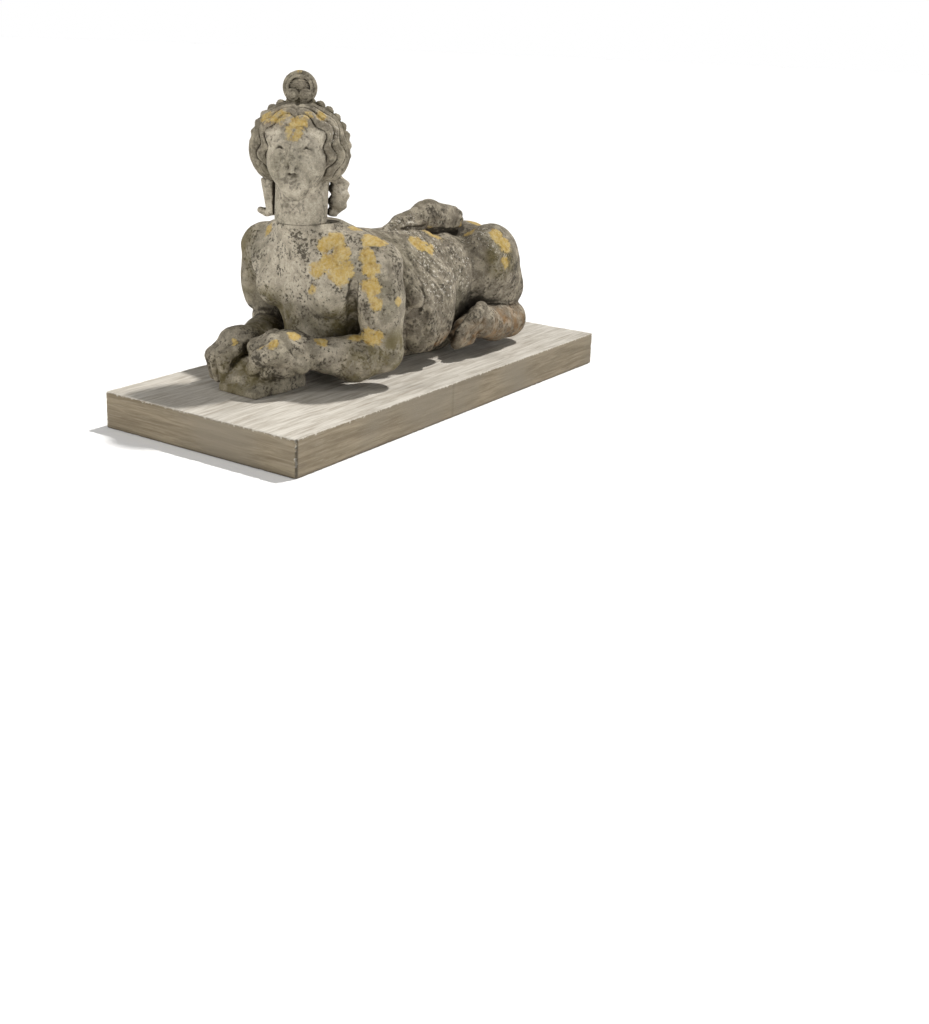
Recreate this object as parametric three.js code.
// Sphinx statue: a reclining figure with a woman's head and chest and a lion's hindquarters,
// carved from limestone and laid on a rectangular stone plinth.
// Units are millimetres, +Z is up, the sphinx faces -Y and +X is its own left side.
// Three solids: plinth, body (with arms, hands, block, saddle cloth, haunches and tail) and head.

import * as THREE from 'three';
import { mergeVertices } from 'three/addons/utils/BufferGeometryUtils.js';

// ---------------------------------------------------------------- plinth sizes
const PLINTH_WIDTH = 566;
const PLINTH_LENGTH = 1300;
const PLINTH_HEIGHT = 88;
const PLINTH_ARRIS = 3;

// ---------------------------------------------------------------- statue sizes
const BED_GAP = 0.3;
const NECK_GAP = 0.6;
const BED_Z = PLINTH_HEIGHT + BED_GAP;
const NECK_JOINT_Z = 468;
const STATUE_TURN = 3.5 * Math.PI / 180;

const SHOULDER = [180, -212, 380];
const ELBOW = [179, -184, 170];
const WRIST = [96, -350, 182];
const FAR_ARM_SPREAD = 8;
const UPPER_ARM_R = 54;
const ELBOW_R = 46;
const FOREARM_R = 53;
const WRIST_R = 37;
const FINGER_PITCH = 25;
const FINGER_R = [21, 20, 17];

const BREAST = [80, -252, 314];
const BREAST_SIZE = [64, 59, 68];
const NECK_FOOT = [-3, -275, 468];
const NECK_R = 59;

const THIGH = [92, 352, 298];
const THIGH_SIZE = [73, 106, 116];
const HOCK = [98, 404, 236];
const HEEL = [118, 410, 152];
const SHIN = [130, 330, 156];
const PAW = [146, 248, 172];

const HEAD_CENTRE = [-2, -284, 634];
const HEAD_TURN = 34 * Math.PI / 180;
const CURL_COUNT = 17;
const CURL_R = 12;
const CREST_R = [106, 100];
const KNOT = [0, 10, 139];
const KNOT_R = 38;
const KNOT_RIM_R = 31;
const LOCK_COUNT = 14;
const LOCK_DEPTH = 4;

const BODY_CELL = 7;
const HEAD_CELL = 3;
const BODY_FACES = 5200;
const HEAD_FACES = 4300;

// ---------------------------------------------------------------- small vector helpers
const add = (a, b) => [a[0] + b[0], a[1] + b[1], a[2] + b[2]];
const sub = (a, b) => [a[0] - b[0], a[1] - b[1], a[2] - b[2]];
const mul = (a, s) => [a[0] * s, a[1] * s, a[2] * s];
const dot = (a, b) => a[0] * b[0] + a[1] * b[1] + a[2] * b[2];
const len = (a) => Math.hypot(a[0], a[1], a[2]);
const side = (a, s) => [a[0] * s, a[1], a[2]];
const clamp01 = (t) => Math.min(1, Math.max(0, t));

function turned(p, angle) {
  const c = Math.cos(angle);
  const s = Math.sin(angle);
  return [p[0] * c - p[1] * s, p[0] * s + p[1] * c, p[2]];
}

// ---------------------------------------------------------------- distance shapes
function blend(a, b, k) {
  const h = clamp01(0.5 + 0.5 * (b - a) / k);
  return b + (a - b) * h - k * h * (1 - h);
}

function carve(a, b, k) {
  return -blend(-a, -b, k);
}

function ball(p, c, r) {
  return len(sub(p, c)) - r;
}

function egg(p, c, r) {
  const x = p[0] - c[0];
  const y = p[1] - c[1];
  const z = p[2] - c[2];
  const k0 = Math.hypot(x / r[0], y / r[1], z / r[2]);
  const k1 = Math.hypot(x / (r[0] * r[0]), y / (r[1] * r[1]), z / (r[2] * r[2]));
  return k0 * (k0 - 1) / Math.max(k1, 1e-9);
}

function limb(p, a, b, ra, rb) {
  const ab = sub(b, a);
  const t = clamp01(dot(sub(p, a), ab) / dot(ab, ab));
  return len(sub(p, add(a, mul(ab, t)))) - (ra + (rb - ra) * t);
}

function chain(p, points, radii, k) {
  let d = limb(p, points[0], points[1], radii[0], radii[1]);
  for (let i = 1; i < points.length - 1; i += 1) {
    d = blend(d, limb(p, points[i], points[i + 1], radii[i], radii[i + 1]), k);
  }
  return d;
}

function slabBox(p, c, h, r) {
  const x = Math.abs(p[0] - c[0]) - h[0] + r;
  const y = Math.abs(p[1] - c[1]) - h[1] + r;
  const z = Math.abs(p[2] - c[2]) - h[2] + r;
  const outside = Math.hypot(Math.max(x, 0), Math.max(y, 0), Math.max(z, 0));
  return outside + Math.min(Math.max(x, y, z), 0) - r;
}

// ---------------------------------------------------------------- torso
function torso(p) {
  let d = egg(p, [0, -208, 330], [150, 104, 140]);
  d = blend(d, egg(p, [0, -236, 404], [112, 80, 70]), 30);
  d = blend(d, limb(p, [-118, -208, 394], [118, -208, 394], 58, 58), 44);
  const neck = limb(p, [0, -226, 398], [-3, -275, 492], 82, NECK_R - 1);
  d = blend(d, Math.max(neck, p[2] - NECK_JOINT_Z), 34);
  d = blend(d, limb(p, [0, -160, 396], [0, -60, 372], 46, 50), 40);
  d = Math.max(d, p[2] - NECK_JOINT_Z);
  for (const s of [-1, 1]) {
    d = blend(d, egg(p, add(armPoint(SHOULDER, s), [-6 * s, 4, 0]), [58, 60, 60]), 34);
    d = blend(d, egg(p, [112 * s, -236, 352], [72, 60, 56]), 30);
    d = blend(d, egg(p, side(BREAST, s), BREAST_SIZE), 14);
    const collarBone = [[22 * s, -314, 454], [70 * s, -282, 446], [135 * s, -232, 440]];
    d = blend(d, chain(p, collarBone, [5, 6, 8], 6), 24);
  }
  d = blend(d, limb(p, [0, -80, 282], [0, 200, 282], 130, 124), 60);
  d = blend(d, egg(p, [0, -60, 190], [122, 240, 118]), 40);
  return blend(d, egg(p, [0, 180, 180], [100, 180, 110]), 40);
}

// ---------------------------------------------------------------- arms and hands
function armPoint(point, s) {
  const spread = s < 0 ? FAR_ARM_SPREAD : 0;
  return [(point[0] + spread) * s, point[1], point[2]];
}

function arm(p, s) {
  const shoulder = armPoint(SHOULDER, s);
  const elbow = armPoint(ELBOW, s);
  const wrist = side(WRIST, s);
  let d = limb(p, shoulder, elbow, UPPER_ARM_R, ELBOW_R);
  d = blend(d, egg(p, add(shoulder, [4 * s, 8, -84]), [52, 56, 84]), 24);
  const muscle = add(add(mul(elbow, 0.6), mul(wrist, 0.4)), [0, 0, -14]);
  return blend(d, chain(p, [elbow, muscle, wrist], [ELBOW_R - 2, FOREARM_R, WRIST_R], 16), 14);
}

// A point of a hand: "a" along it from the wrist, "o" outwards across it and z up.
function handPoint(wrist, along, out, a, o, z) {
  return add(add(add(wrist, mul(along, a)), mul(out, o)), [0, 0, z]);
}

// A curled hand: broad palm and four bent fingers side by side.
function hand(p, wrist, along, out, reach, rise, drop) {
  const at = (a, o, z) => handPoint(wrist, along, out, a, o, z);
  let d = egg(p, at(reach * 0.5, 0, rise * 0.4), [52, 52, 40]);
  d = blend(d, limb(p, wrist, at(reach * 0.7, 0, rise * 0.35), WRIST_R, 40), 12);
  for (let i = 0; i < 4; i += 1) {
    const o = (i - 1.5) * FINGER_PITCH;
    const knuckle = at(reach, o, rise - 4 * Math.abs(i - 1.5));
    const joint = at(reach + 42, o * 0.96, rise - drop * 0.35);
    const tip = at(reach + 34, o * 0.9, rise - drop);
    d = blend(d, chain(p, [knuckle, joint, tip], FINGER_R, 8), 5);
  }
  return d;
}

function nearHand(p) {
  const wrist = side(WRIST, 1);
  const along = [-0.81, -0.585, 0];
  const out = [0.585, -0.81, 0];
  const at = (a, o, z) => handPoint(wrist, along, out, a, o, z);
  const edge = [at(14, 30, -22), at(66, 46, 4), at(106, 44, -6), at(126, 34, -34)];
  return blend(hand(p, wrist, along, out, 86, 30, 74), chain(p, edge, [20, 24, 21, 17], 8), 5);
}

function farHand(p) {
  const wrist = add(side(WRIST, -1), [10, -4, -2]);
  return hand(p, wrist, [-0.13, -0.99, 0], [-0.99, 0.13, 0], 70, 2, 68);
}

// The low wedge of stone under both hands.
function wedge(p) {
  let d = slabBox(p, [-6, -400, 110], [60, 84, 60], 4);
  d = Math.max(d, p[2] - 104 - (p[1] + 486) * 0.24);
  d = blend(d, egg(p, [-6, -396, 112], [58, 66, 52]), 16);
  return blend(d, egg(p, [-46, -410, 118], [56, 56, 46]), 14);
}

// ---------------------------------------------------------------- saddle cloth
function cloth(p) {
  let d = limb(p, [0, -60, 288], [0, 150, 288], 137, 131);
  for (const s of [-1, 1]) {
    d = blend(d, egg(p, [118 * s, 14, 226], [46, 60, 104]), 18);
    d = blend(d, egg(p, [118 * s, 92, 232], [42, 62, 106]), 18);
  }
  return carve(d, Math.abs(p[1] - 50) - 112, 10);
}

// ---------------------------------------------------------------- hindquarters
function haunch(p, s) {
  let d = egg(p, side(THIGH, s), THIGH_SIZE);
  d = blend(d, egg(p, side(HOCK, s), [58, 72, 66]), 24);
  d = blend(d, chain(p, [side(HEEL, s), side(SHIN, s), side(PAW, s)], [54, 48, 46], 20), 12);
  for (let i = 0; i < 3; i += 1) {
    const root = [(150 - 8 * i) * s, 240 - 8 * i, 208 - 30 * i];
    const joint = [(164 - 6 * i) * s, 192 - 4 * i, 190 - 24 * i];
    const tip = [(156 - 6 * i) * s, 150, 158 - 14 * i];
    d = blend(d, chain(p, [root, joint, tip], [22, 24, 18], 8), 5);
  }
  return d;
}

// The tail climbs the far haunch and lies along the back, ending in a flame-shaped tuft.
function tail(p) {
  const tuft = chain(p, [[6, -4, 412], [8, 80, 428], [10, 185, 440], [10, 285, 424]], [10, 22, 38, 32], 14);
  const rope = [[0, 300, 425], [-50, 330, 428], [-118, 380, 404], [-158, 430, 300], [-140, 458, 190]];
  return blend(tuft, chain(p, rope, [16, 14, 14, 15, 18], 8), 6);
}

// ---------------------------------------------------------------- whole body
function body(q) {
  const p = turned(q, STATUE_TURN);
  let d = torso(p);
  d = blend(d, arm(p, -1), 14);
  d = blend(d, arm(p, 1), 14);
  d = blend(d, cloth(p), 8);
  d = blend(d, egg(p, [0, 360, 286], [112, 112, 116]), 40);
  d = blend(d, haunch(p, -1), 12);
  d = blend(d, haunch(p, 1), 12);
  d = blend(d, tail(p), 6);
  d = blend(d, nearHand(p), 6);
  d = blend(d, farHand(p), 6);
  d = blend(d, wedge(p), 5);
  return Math.max(d, BED_Z - q[2]);
}

// ---------------------------------------------------------------- face
function eyeAndBrow(q, d0, s) {
  let d = blend(d0, ball(q, [38 * s, -50, -30], 21), 30);
  d = blend(d, chain(q, [[11 * s, -83, 20], [28 * s, -77, 26], [44 * s, -63, 20]], [2, 2, 1], 6), 16);
  d = carve(d, -egg(q, [30 * s, -93, 2], [17, 12, 10]), 12);
  d = blend(d, egg(q, [30 * s, -71, 1], [15.5, 12, 11.5]), 2.5);
  const upper = [
    [14 * s, -79, -1], [21 * s, -82.5, 7], [30 * s, -84, 9.5], [39 * s, -79.5, 7], [47 * s, -70, 0],
  ];
  d = blend(d, chain(q, upper, [1.2, 1.7, 1.9, 1.7, 1.2], 2), 2);
  const lower = [
    [14 * s, -79, -2], [22 * s, -81, -7.5], [31 * s, -81.5, -9], [40 * s, -76, -6], [47 * s, -70, -1],
  ];
  return blend(d, chain(q, lower, [0.8, 1.1, 1.2, 1.1, 0.8], 2), 2.5);
}

function noseAndMouth(q, d0) {
  let d = blend(d0, chain(q, [[0, -81, 19], [0, -91, -10], [0, -101, -37]], [5, 5, 5.6], 6), 13);
  d = blend(d, egg(q, [-9, -89, -40], [5, 8, 5]), 8);
  d = blend(d, egg(q, [9, -89, -40], [5, 8, 5]), 8);
  d = blend(d, egg(q, [0, -72, -68], [30, 11, 20]), 20);
  const lipHalf = [[4, -87.6, -66.3], [13, -84.8, -67.8], [24, -79.5, -69.5]];
  const bow = [...lipHalf.map((point) => side(point, -1)).reverse(), ...lipHalf];
  d = blend(d, chain(q, bow, [0.8, 2.3, 2.7, 2.7, 2.3, 0.8], 4), 3);
  const lowerLip = [[-20, -80.5, -72.5], [-8, -85.6, -75], [8, -85.6, -75], [20, -80.5, -72.5]];
  return blend(d, chain(q, lowerLip, [1, 3.4, 3.4, 1], 4), 3);
}

function face(q) {
  let d = egg(q, [0, 12, 16], [72, 94, 92]);
  d = blend(d, egg(q, [0, -22, -14], [62, 66, 80]), 22);
  d = blend(d, egg(q, [0, -34, -60], [45, 47, 44]), 24);
  d = blend(d, egg(q, [0, -62, -92], [19, 18, 16]), 18);
  d = eyeAndBrow(q, d, -1);
  d = eyeAndBrow(q, d, 1);
  return noseAndMouth(q, d);
}

// ---------------------------------------------------------------- hair
// Wavy locks lie as grooved rings round the face, parted along the middle.
function lockGroove(q) {
  const rim = Math.hypot(q[0], (q[2] + 6) / 1.08);
  const fromFace = Math.atan2(rim, -(q[1] - 6));
  const round = Math.atan2(q[0], q[2] + 6);
  const fade = clamp01((fromFace - 0.2) / 0.8) * clamp01(2.9 - fromFace);
  const wave = 0.05 * Math.sin(9 * Math.abs(round) + 1) * fade;
  return Math.abs(Math.sin((fromFace + wave) * LOCK_COUNT));
}

function hair(q) {
  let d = egg(q, [0, 22, 14], [88, 92, 96]);
  for (const s of [-1, 1]) {
    d = blend(d, egg(q, [64 * s, 8, 0], [50, 52, 68]), 20);
    d = blend(d, egg(q, [50 * s, -4, 50], [48, 60, 50]), 20);
  }
  d = blend(d, egg(q, [0, -12, 66], [58, 62, 38]), 20);
  d = carve(d, -egg(q, [0, -112, -36], [66, 98, 104]), 5);
  d -= LOCK_DEPTH * (lockGroove(q) - 0.55);
  if (q[2] > 20) {
    d += 5 * Math.exp(-((q[0] / 4) ** 2));
  }
  return d;
}

function crestCurls(q, d0) {
  let d = d0;
  for (let i = 0; i < CURL_COUNT; i += 1) {
    const a = (i - (CURL_COUNT - 1) / 2) * 0.215;
    d = blend(d, ball(q, [CREST_R[0] * Math.sin(a), 20, 6 + CREST_R[1] * Math.cos(a)], CURL_R), 4);
  }
  return d;
}

// The round bow on top: a dished disc with a raised rim and two scrolls.
function topKnot(q) {
  const t = sub(q, KNOT);
  let d = egg(q, KNOT, [KNOT_R, 13, KNOT_R]);
  d = blend(d, Math.hypot(Math.hypot(t[0] / 1.03, t[2]) - KNOT_RIM_R, t[1] + 8) - 7.5, 3);
  d = blend(d, ball(q, add(KNOT, [-13, -10, -16]), 13.5), 3);
  return blend(d, ball(q, add(KNOT, [13, -10, -16]), 13.5), 3);
}

// ---------------------------------------------------------------- whole head
function head(w) {
  const p = turned(w, STATUE_TURN);
  const q = turned(sub(p, HEAD_CENTRE), -HEAD_TURN);
  let d = limb(p, NECK_FOOT, add(NECK_FOOT, [1, 7, 102]), NECK_R, NECK_R - 1);
  d = blend(d, face(q), 12);
  d = blend(d, egg(q, [-76, -2, -30], [9, 16, 30]), 5);
  d = blend(d, egg(q, [76, -2, -30], [9, 16, 30]), 5);
  d = blend(d, hair(q), 2.5);
  d = crestCurls(q, d);
  d = blend(d, topKnot(q), 5);
  d = blend(d, egg(q, [0, 58, -60], [64, 36, 84]), 14);
  const ringlets = [[78, 34, -60], [88, 42, -88], [86, 46, -116], [74, 50, -142]];
  d = blend(d, chain(q, ringlets, [18, 21, 21, 16], 8), 6);
  const plait = [[-72, 24, -62], [-72, 34, -100], [-76, 38, -130], [-80, 36, -148]];
  d = blend(d, chain(q, plait, [12, 16, 22, 12], 8), 6);
  return Math.max(d, NECK_JOINT_Z + NECK_GAP - w[2]);
}

// ---------------------------------------------------------------- surface of a distance field
const BLOCK = 6;

function sampleField(field, low, high, cell) {
  const n = [0, 1, 2].map((i) => Math.ceil((high[i] - low[i]) / cell / BLOCK) * BLOCK + 1);
  const at = (i, j, k) => (i * n[1] + j) * n[2] + k;
  const values = new Float32Array(n[0] * n[1] * n[2]);
  const reach = cell * BLOCK * 0.5 * Math.sqrt(3) * 2.2;
  for (let bi = 0; bi < n[0]; bi += BLOCK) {
    for (let bj = 0; bj < n[1]; bj += BLOCK) {
      for (let bk = 0; bk < n[2]; bk += BLOCK) {
        const half = BLOCK / 2;
        const mid = [low[0] + (bi + half) * cell, low[1] + (bj + half) * cell, low[2] + (bk + half) * cell];
        const rough = field(mid);
        const near = Math.abs(rough) < reach;
        for (let i = bi; i < Math.min(bi + BLOCK, n[0]); i += 1) {
          for (let j = bj; j < Math.min(bj + BLOCK, n[1]); j += 1) {
            for (let k = bk; k < Math.min(bk + BLOCK, n[2]); k += 1) {
              const here = [low[0] + i * cell, low[1] + j * cell, low[2] + k * cell];
              values[at(i, j, k)] = near ? field(here) : rough;
            }
          }
        }
      }
    }
  }
  return { values, n, at, low, cell };
}

// Cell faces whose corners alternate in sign would pinch the surface, so they are filled in.
function unpinch(grid) {
  const { values, n, at } = grid;
  const steps = [[0, 1, 0, 0, 0, 1], [1, 0, 0, 0, 0, 1], [1, 0, 0, 0, 1, 0]];
  let changed = 1;
  for (let round = 0; round < 20 && changed > 0; round += 1) {
    changed = 0;
    for (let i = 0; i < n[0] - 1; i += 1) {
      for (let j = 0; j < n[1] - 1; j += 1) {
        for (let k = 0; k < n[2] - 1; k += 1) {
          for (const [ax, ay, az, bx, by, bz] of steps) {
            const corner = [
              at(i, j, k), at(i + ax, j + ay, k + az),
              at(i + ax + bx, j + ay + by, k + az + bz), at(i + bx, j + by, k + bz),
            ];
            const sign = corner.map((c) => values[c] < 0);
            if (sign[0] === sign[2] && sign[1] === sign[3] && sign[0] !== sign[1]) {
              const fill = sign[0] ? corner[1] : corner[0];
              values[fill] = -1e-3;
              changed += 1;
            }
          }
        }
      }
    }
  }
}

const CORNERS = [[0, 0, 0], [1, 0, 0], [0, 1, 0], [1, 1, 0], [0, 0, 1], [1, 0, 1], [0, 1, 1], [1, 1, 1]];
const EDGES = [
  [0, 1], [2, 3], [4, 5], [6, 7], [0, 2], [1, 3], [4, 6], [5, 7], [0, 4], [1, 5], [2, 6], [3, 7],
];

function netVertices(grid) {
  const { values, n, at, low, cell } = grid;
  const index = new Int32Array(values.length).fill(-1);
  const points = [];
  for (let i = 0; i < n[0] - 1; i += 1) {
    for (let j = 0; j < n[1] - 1; j += 1) {
      for (let k = 0; k < n[2] - 1; k += 1) {
        const v = CORNERS.map((c) => values[at(i + c[0], j + c[1], k + c[2])]);
        const inside = v.filter((x) => x < 0).length;
        if (inside === 0 || inside === 8) {
          continue;
        }
        let sum = [0, 0, 0];
        let count = 0;
        for (const [a, b] of EDGES) {
          if ((v[a] < 0) !== (v[b] < 0)) {
            const t = v[a] / (v[a] - v[b]);
            sum = add(sum, add(mul(CORNERS[a], 1 - t), mul(CORNERS[b], t)));
            count += 1;
          }
        }
        index[at(i, j, k)] = points.length;
        points.push(add(low, mul(add([i, j, k], mul(sum, 1 / count)), cell)));
      }
    }
  }
  return { index, points };
}

function netFaces(grid, index) {
  const { values, n, at } = grid;
  const faces = [];
  const step = [[1, 0, 0], [0, 1, 0], [0, 0, 1]];
  for (let i = 1; i < n[0] - 1; i += 1) {
    for (let j = 1; j < n[1] - 1; j += 1) {
      for (let k = 1; k < n[2] - 1; k += 1) {
        const here = values[at(i, j, k)] < 0;
        for (let a = 0; a < 3; a += 1) {
          const ahead = values[at(i + step[a][0], j + step[a][1], k + step[a][2])] < 0;
          if (here === ahead) {
            continue;
          }
          const u = step[(a + 1) % 3];
          const v = step[(a + 2) % 3];
          const cellAt = (x, y) => index[at(
            i - x * u[0] - y * v[0],
            j - x * u[1] - y * v[1],
            k - x * u[2] - y * v[2],
          )];
          const ring = [cellAt(1, 1), cellAt(0, 1), cellAt(0, 0), cellAt(1, 0)];
          const [p, q, r, s] = here ? ring : ring.reverse();
          faces.push([p, q, r], [p, r, s]);
        }
      }
    }
  }
  return faces;
}

// Slide every vertex along the gradient on to the true surface.
function settle(points, field, cell) {
  const e = 0.4;
  return points.map((start) => {
    let p = start;
    for (let pass = 0; pass < 2; pass += 1) {
      const g = [
        field(add(p, [e, 0, 0])) - field(add(p, [-e, 0, 0])),
        field(add(p, [0, e, 0])) - field(add(p, [0, -e, 0])),
        field(add(p, [0, 0, e])) - field(add(p, [0, 0, -e])),
      ];
      const slope = Math.max(len(g) / (2 * e), 0.3);
      const d = Math.max(-0.4 * cell, Math.min(0.4 * cell, field(p) / slope));
      p = sub(p, mul(g, d / Math.max(len(g), 1e-9)));
    }
    return p;
  });
}

// ---------------------------------------------------------------- fewer faces, same form
// Edge collapse by squared distance to the planes of the faces round each vertex.
function planeQuadric(a, b, c) {
  const u = sub(b, a);
  const v = sub(c, a);
  const n = [u[1] * v[2] - u[2] * v[1], u[2] * v[0] - u[0] * v[2], u[0] * v[1] - u[1] * v[0]];
  const area = len(n);
  const m = mul(n, 1 / Math.max(area, 1e-12));
  const d = -dot(m, a);
  const w = area;
  return [
    w * m[0] * m[0], w * m[0] * m[1], w * m[0] * m[2], w * m[0] * d, w * m[1] * m[1],
    w * m[1] * m[2], w * m[1] * d, w * m[2] * m[2], w * m[2] * d, w * d * d,
  ];
}

function quadricError(q, p) {
  const [x, y, z] = p;
  return q[0] * x * x + 2 * q[1] * x * y + 2 * q[2] * x * z + 2 * q[3] * x + q[4] * y * y
    + 2 * q[5] * y * z + 2 * q[6] * y + q[7] * z * z + 2 * q[8] * z + q[9];
}

function quadricBest(q, a, b) {
  const mid = mul(add(a, b), 0.5);
  const k = 1e-3 * (q[0] + q[4] + q[7]) + 1e-9;
  const m = [[q[0] + k, q[1], q[2]], [q[1], q[4] + k, q[5]], [q[2], q[5], q[7] + k]];
  const r = [k * mid[0] - q[3], k * mid[1] - q[6], k * mid[2] - q[8]];
  const det3 = (h) => h[0][0] * (h[1][1] * h[2][2] - h[1][2] * h[2][1])
    - h[0][1] * (h[1][0] * h[2][2] - h[1][2] * h[2][0])
    + h[0][2] * (h[1][0] * h[2][1] - h[1][1] * h[2][0]);
  const det = det3(m);
  const swap = (col) => m.map((row, i) => row.map((value, j) => (j === col ? r[i] : value)));
  const p = [0, 1, 2].map((col) => det3(swap(col)) / det);
  const far = len(sub(p, mid)) > 2 * len(sub(a, b));
  return far || !Number.isFinite(p[0]) ? mid : p;
}

class EdgeHeap {
  constructor() {
    this.items = [];
  }

  push(item) {
    const h = this.items;
    let i = h.length;
    h.push(item);
    while (i > 0) {
      const up = (i - 1) >> 1;
      if (h[up].cost <= item.cost) {
        break;
      }
      h[i] = h[up];
      i = up;
    }
    h[i] = item;
  }

  pop() {
    const h = this.items;
    const top = h[0];
    const last = h.pop();
    if (h.length > 0) {
      let i = 0;
      for (;;) {
        let kid = 2 * i + 1;
        if (kid >= h.length) {
          break;
        }
        if (kid + 1 < h.length && h[kid + 1].cost < h[kid].cost) {
          kid += 1;
        }
        if (h[kid].cost >= last.cost) {
          break;
        }
        h[i] = h[kid];
        i = kid;
      }
      h[i] = last;
    }
    return top;
  }
}

function faceNormal(a, b, c) {
  const u = sub(b, a);
  const v = sub(c, a);
  const n = [u[1] * v[2] - u[2] * v[1], u[2] * v[0] - u[0] * v[2], u[0] * v[1] - u[1] * v[0]];
  return mul(n, 1 / Math.max(len(n), 1e-12));
}

function simplify(points, faces, target) {
  const pos = points.map((p) => p.slice());
  const face = faces.map((f) => f.slice());
  const alive = new Uint8Array(face.length).fill(1);
  const around = pos.map(() => new Set());
  const quadric = pos.map(() => new Array(10).fill(0));
  const stamp = new Int32Array(pos.length);
  face.forEach((f, i) => {
    const q = planeQuadric(pos[f[0]], pos[f[1]], pos[f[2]]);
    for (const v of f) {
      around[v].add(i);
      for (let t = 0; t < 10; t += 1) {
        quadric[v][t] += q[t];
      }
    }
  });
  const ring = (v) => {
    const set = new Set();
    for (const f of around[v]) {
      for (const w of face[f]) {
        if (w !== v) {
          set.add(w);
        }
      }
    }
    return set;
  };
  const heap = new EdgeHeap();
  const offer = (a, b) => {
    const q = quadric[a].map((value, i) => value + quadric[b][i]);
    const p = quadricBest(q, pos[a], pos[b]);
    const cost = quadricError(q, p) + 1e-4 * len(sub(pos[a], pos[b])) ** 3;
    heap.push({ a, b, p, q, cost, sa: stamp[a], sb: stamp[b] });
  };
  face.forEach((f) => {
    for (let t = 0; t < 3; t += 1) {
      if (f[t] < f[(t + 1) % 3]) {
        offer(f[t], f[(t + 1) % 3]);
      }
    }
  });
  const turnsOver = (v, other, p) => {
    for (const f of around[v]) {
      if (face[f].includes(other)) {
        continue;
      }
      const before = face[f].map((w) => pos[w]);
      const after = face[f].map((w) => (w === v ? p : pos[w]));
      if (dot(faceNormal(...before), faceNormal(...after)) < 0.25) {
        return true;
      }
    }
    return false;
  };
  let count = face.length;
  while (count > target && heap.items.length > 0) {
    const { a, b, p, q, sa, sb } = heap.pop();
    if (stamp[a] !== sa || stamp[b] !== sb) {
      continue;
    }
    const ringA = ring(a);
    const ringB = ring(b);
    const shared = [...ringA].filter((w) => ringB.has(w));
    if (shared.length !== 2 || turnsOver(a, b, p) || turnsOver(b, a, p)) {
      continue;
    }
    pos[a] = p;
    quadric[a] = q;
    for (const f of [...around[b]]) {
      if (face[f].includes(a)) {
        alive[f] = 0;
        count -= 1;
        for (const w of face[f]) {
          around[w].delete(f);
        }
      } else {
        face[f] = face[f].map((w) => (w === b ? a : w));
        around[a].add(f);
      }
    }
    around[b].clear();
    stamp[a] += 1;
    stamp[b] = -1;
    for (const w of ring(a)) {
      stamp[w] += 1;
    }
    const renewed = new Set();
    for (const w of [a, ...ring(a)]) {
      for (const x of ring(w)) {
        const key = w < x ? w * pos.length + x : x * pos.length + w;
        if (!renewed.has(key)) {
          renewed.add(key);
          offer(Math.min(w, x), Math.max(w, x));
        }
      }
    }
  }
  return { pos, face: face.filter((f, i) => alive[i] === 1) };
}

// ---------------------------------------------------------------- meshes
function geometryFrom(pos, face) {
  const used = new Map();
  const flat = [];
  const index = [];
  for (const f of face) {
    for (const v of f) {
      if (!used.has(v)) {
        used.set(v, used.size);
        flat.push(pos[v][0], pos[v][1], pos[v][2]);
      }
      index.push(used.get(v));
    }
  }
  const geometry = new THREE.BufferGeometry();
  geometry.setAttribute('position', new THREE.Float32BufferAttribute(flat, 3));
  geometry.setIndex(index);
  geometry.computeVertexNormals();
  return geometry;
}

function carvedSolid(field, low, high, cell, target, keep) {
  const grid = sampleField(field, low, high, cell);
  unpinch(grid);
  const { index, points } = netVertices(grid);
  const faces = netFaces(grid, index);
  const settled = settle(points, field, cell);
  const { pos, face } = simplify(settled, faces, target);
  return geometryFrom(pos.map(keep), face);
}

function plinthGeometry() {
  const x = PLINTH_WIDTH / 2 - PLINTH_ARRIS;
  const y = PLINTH_LENGTH / 2 - PLINTH_ARRIS;
  const shape = new THREE.Shape();
  shape.moveTo(-x, -y);
  shape.lineTo(x, -y);
  shape.lineTo(x, y);
  shape.lineTo(-x, y);
  shape.closePath();
  const geometry = new THREE.ExtrudeGeometry(shape, {
    depth: PLINTH_HEIGHT - 2 * PLINTH_ARRIS,
    bevelEnabled: true,
    bevelThickness: PLINTH_ARRIS,
    bevelSize: PLINTH_ARRIS,
    bevelSegments: 1,
  });
  geometry.translate(0, 0, PLINTH_ARRIS);
  geometry.deleteAttribute('uv');
  geometry.deleteAttribute('normal');
  const joined = mergeVertices(geometry, 1e-3);
  joined.computeVertexNormals();
  return joined;
}

const stone = (color, roughness) => new THREE.MeshStandardMaterial({ color, roughness, metalness: 0 });

function named(name, geometry, material) {
  const mesh = new THREE.Mesh(geometry, material);
  mesh.name = name;
  return mesh;
}

// Keeps the bedding faces and the neck joint flat.
function keepBody(p) {
  const onNeck = Math.hypot(p[0] + 20, p[1] + 276) < 90 && p[2] > NECK_JOINT_Z - 2.5;
  return [p[0], p[1], onNeck ? NECK_JOINT_Z : Math.max(p[2], BED_Z)];
}

function keepHead(p) {
  return [p[0], p[1], Math.max(p[2], NECK_JOINT_Z + NECK_GAP)];
}

const statue = new THREE.Group();
statue.name = 'sphinx_statue';
statue.add(named('plinth', plinthGeometry(), stone(0x9a8f7c, 0.85)));
statue.add(named(
  'body',
  carvedSolid(body, [-290, -530, 74], [290, 530, 505], BODY_CELL, BODY_FACES, keepBody),
  stone(0x8d8674, 0.9),
));
statue.add(named(
  'head',
  carvedSolid(head, [-190, -430, 462], [160, -150, 830], HEAD_CELL, HEAD_FACES, keepHead),
  stone(0xb5ab96, 0.9),
));

export default statue;
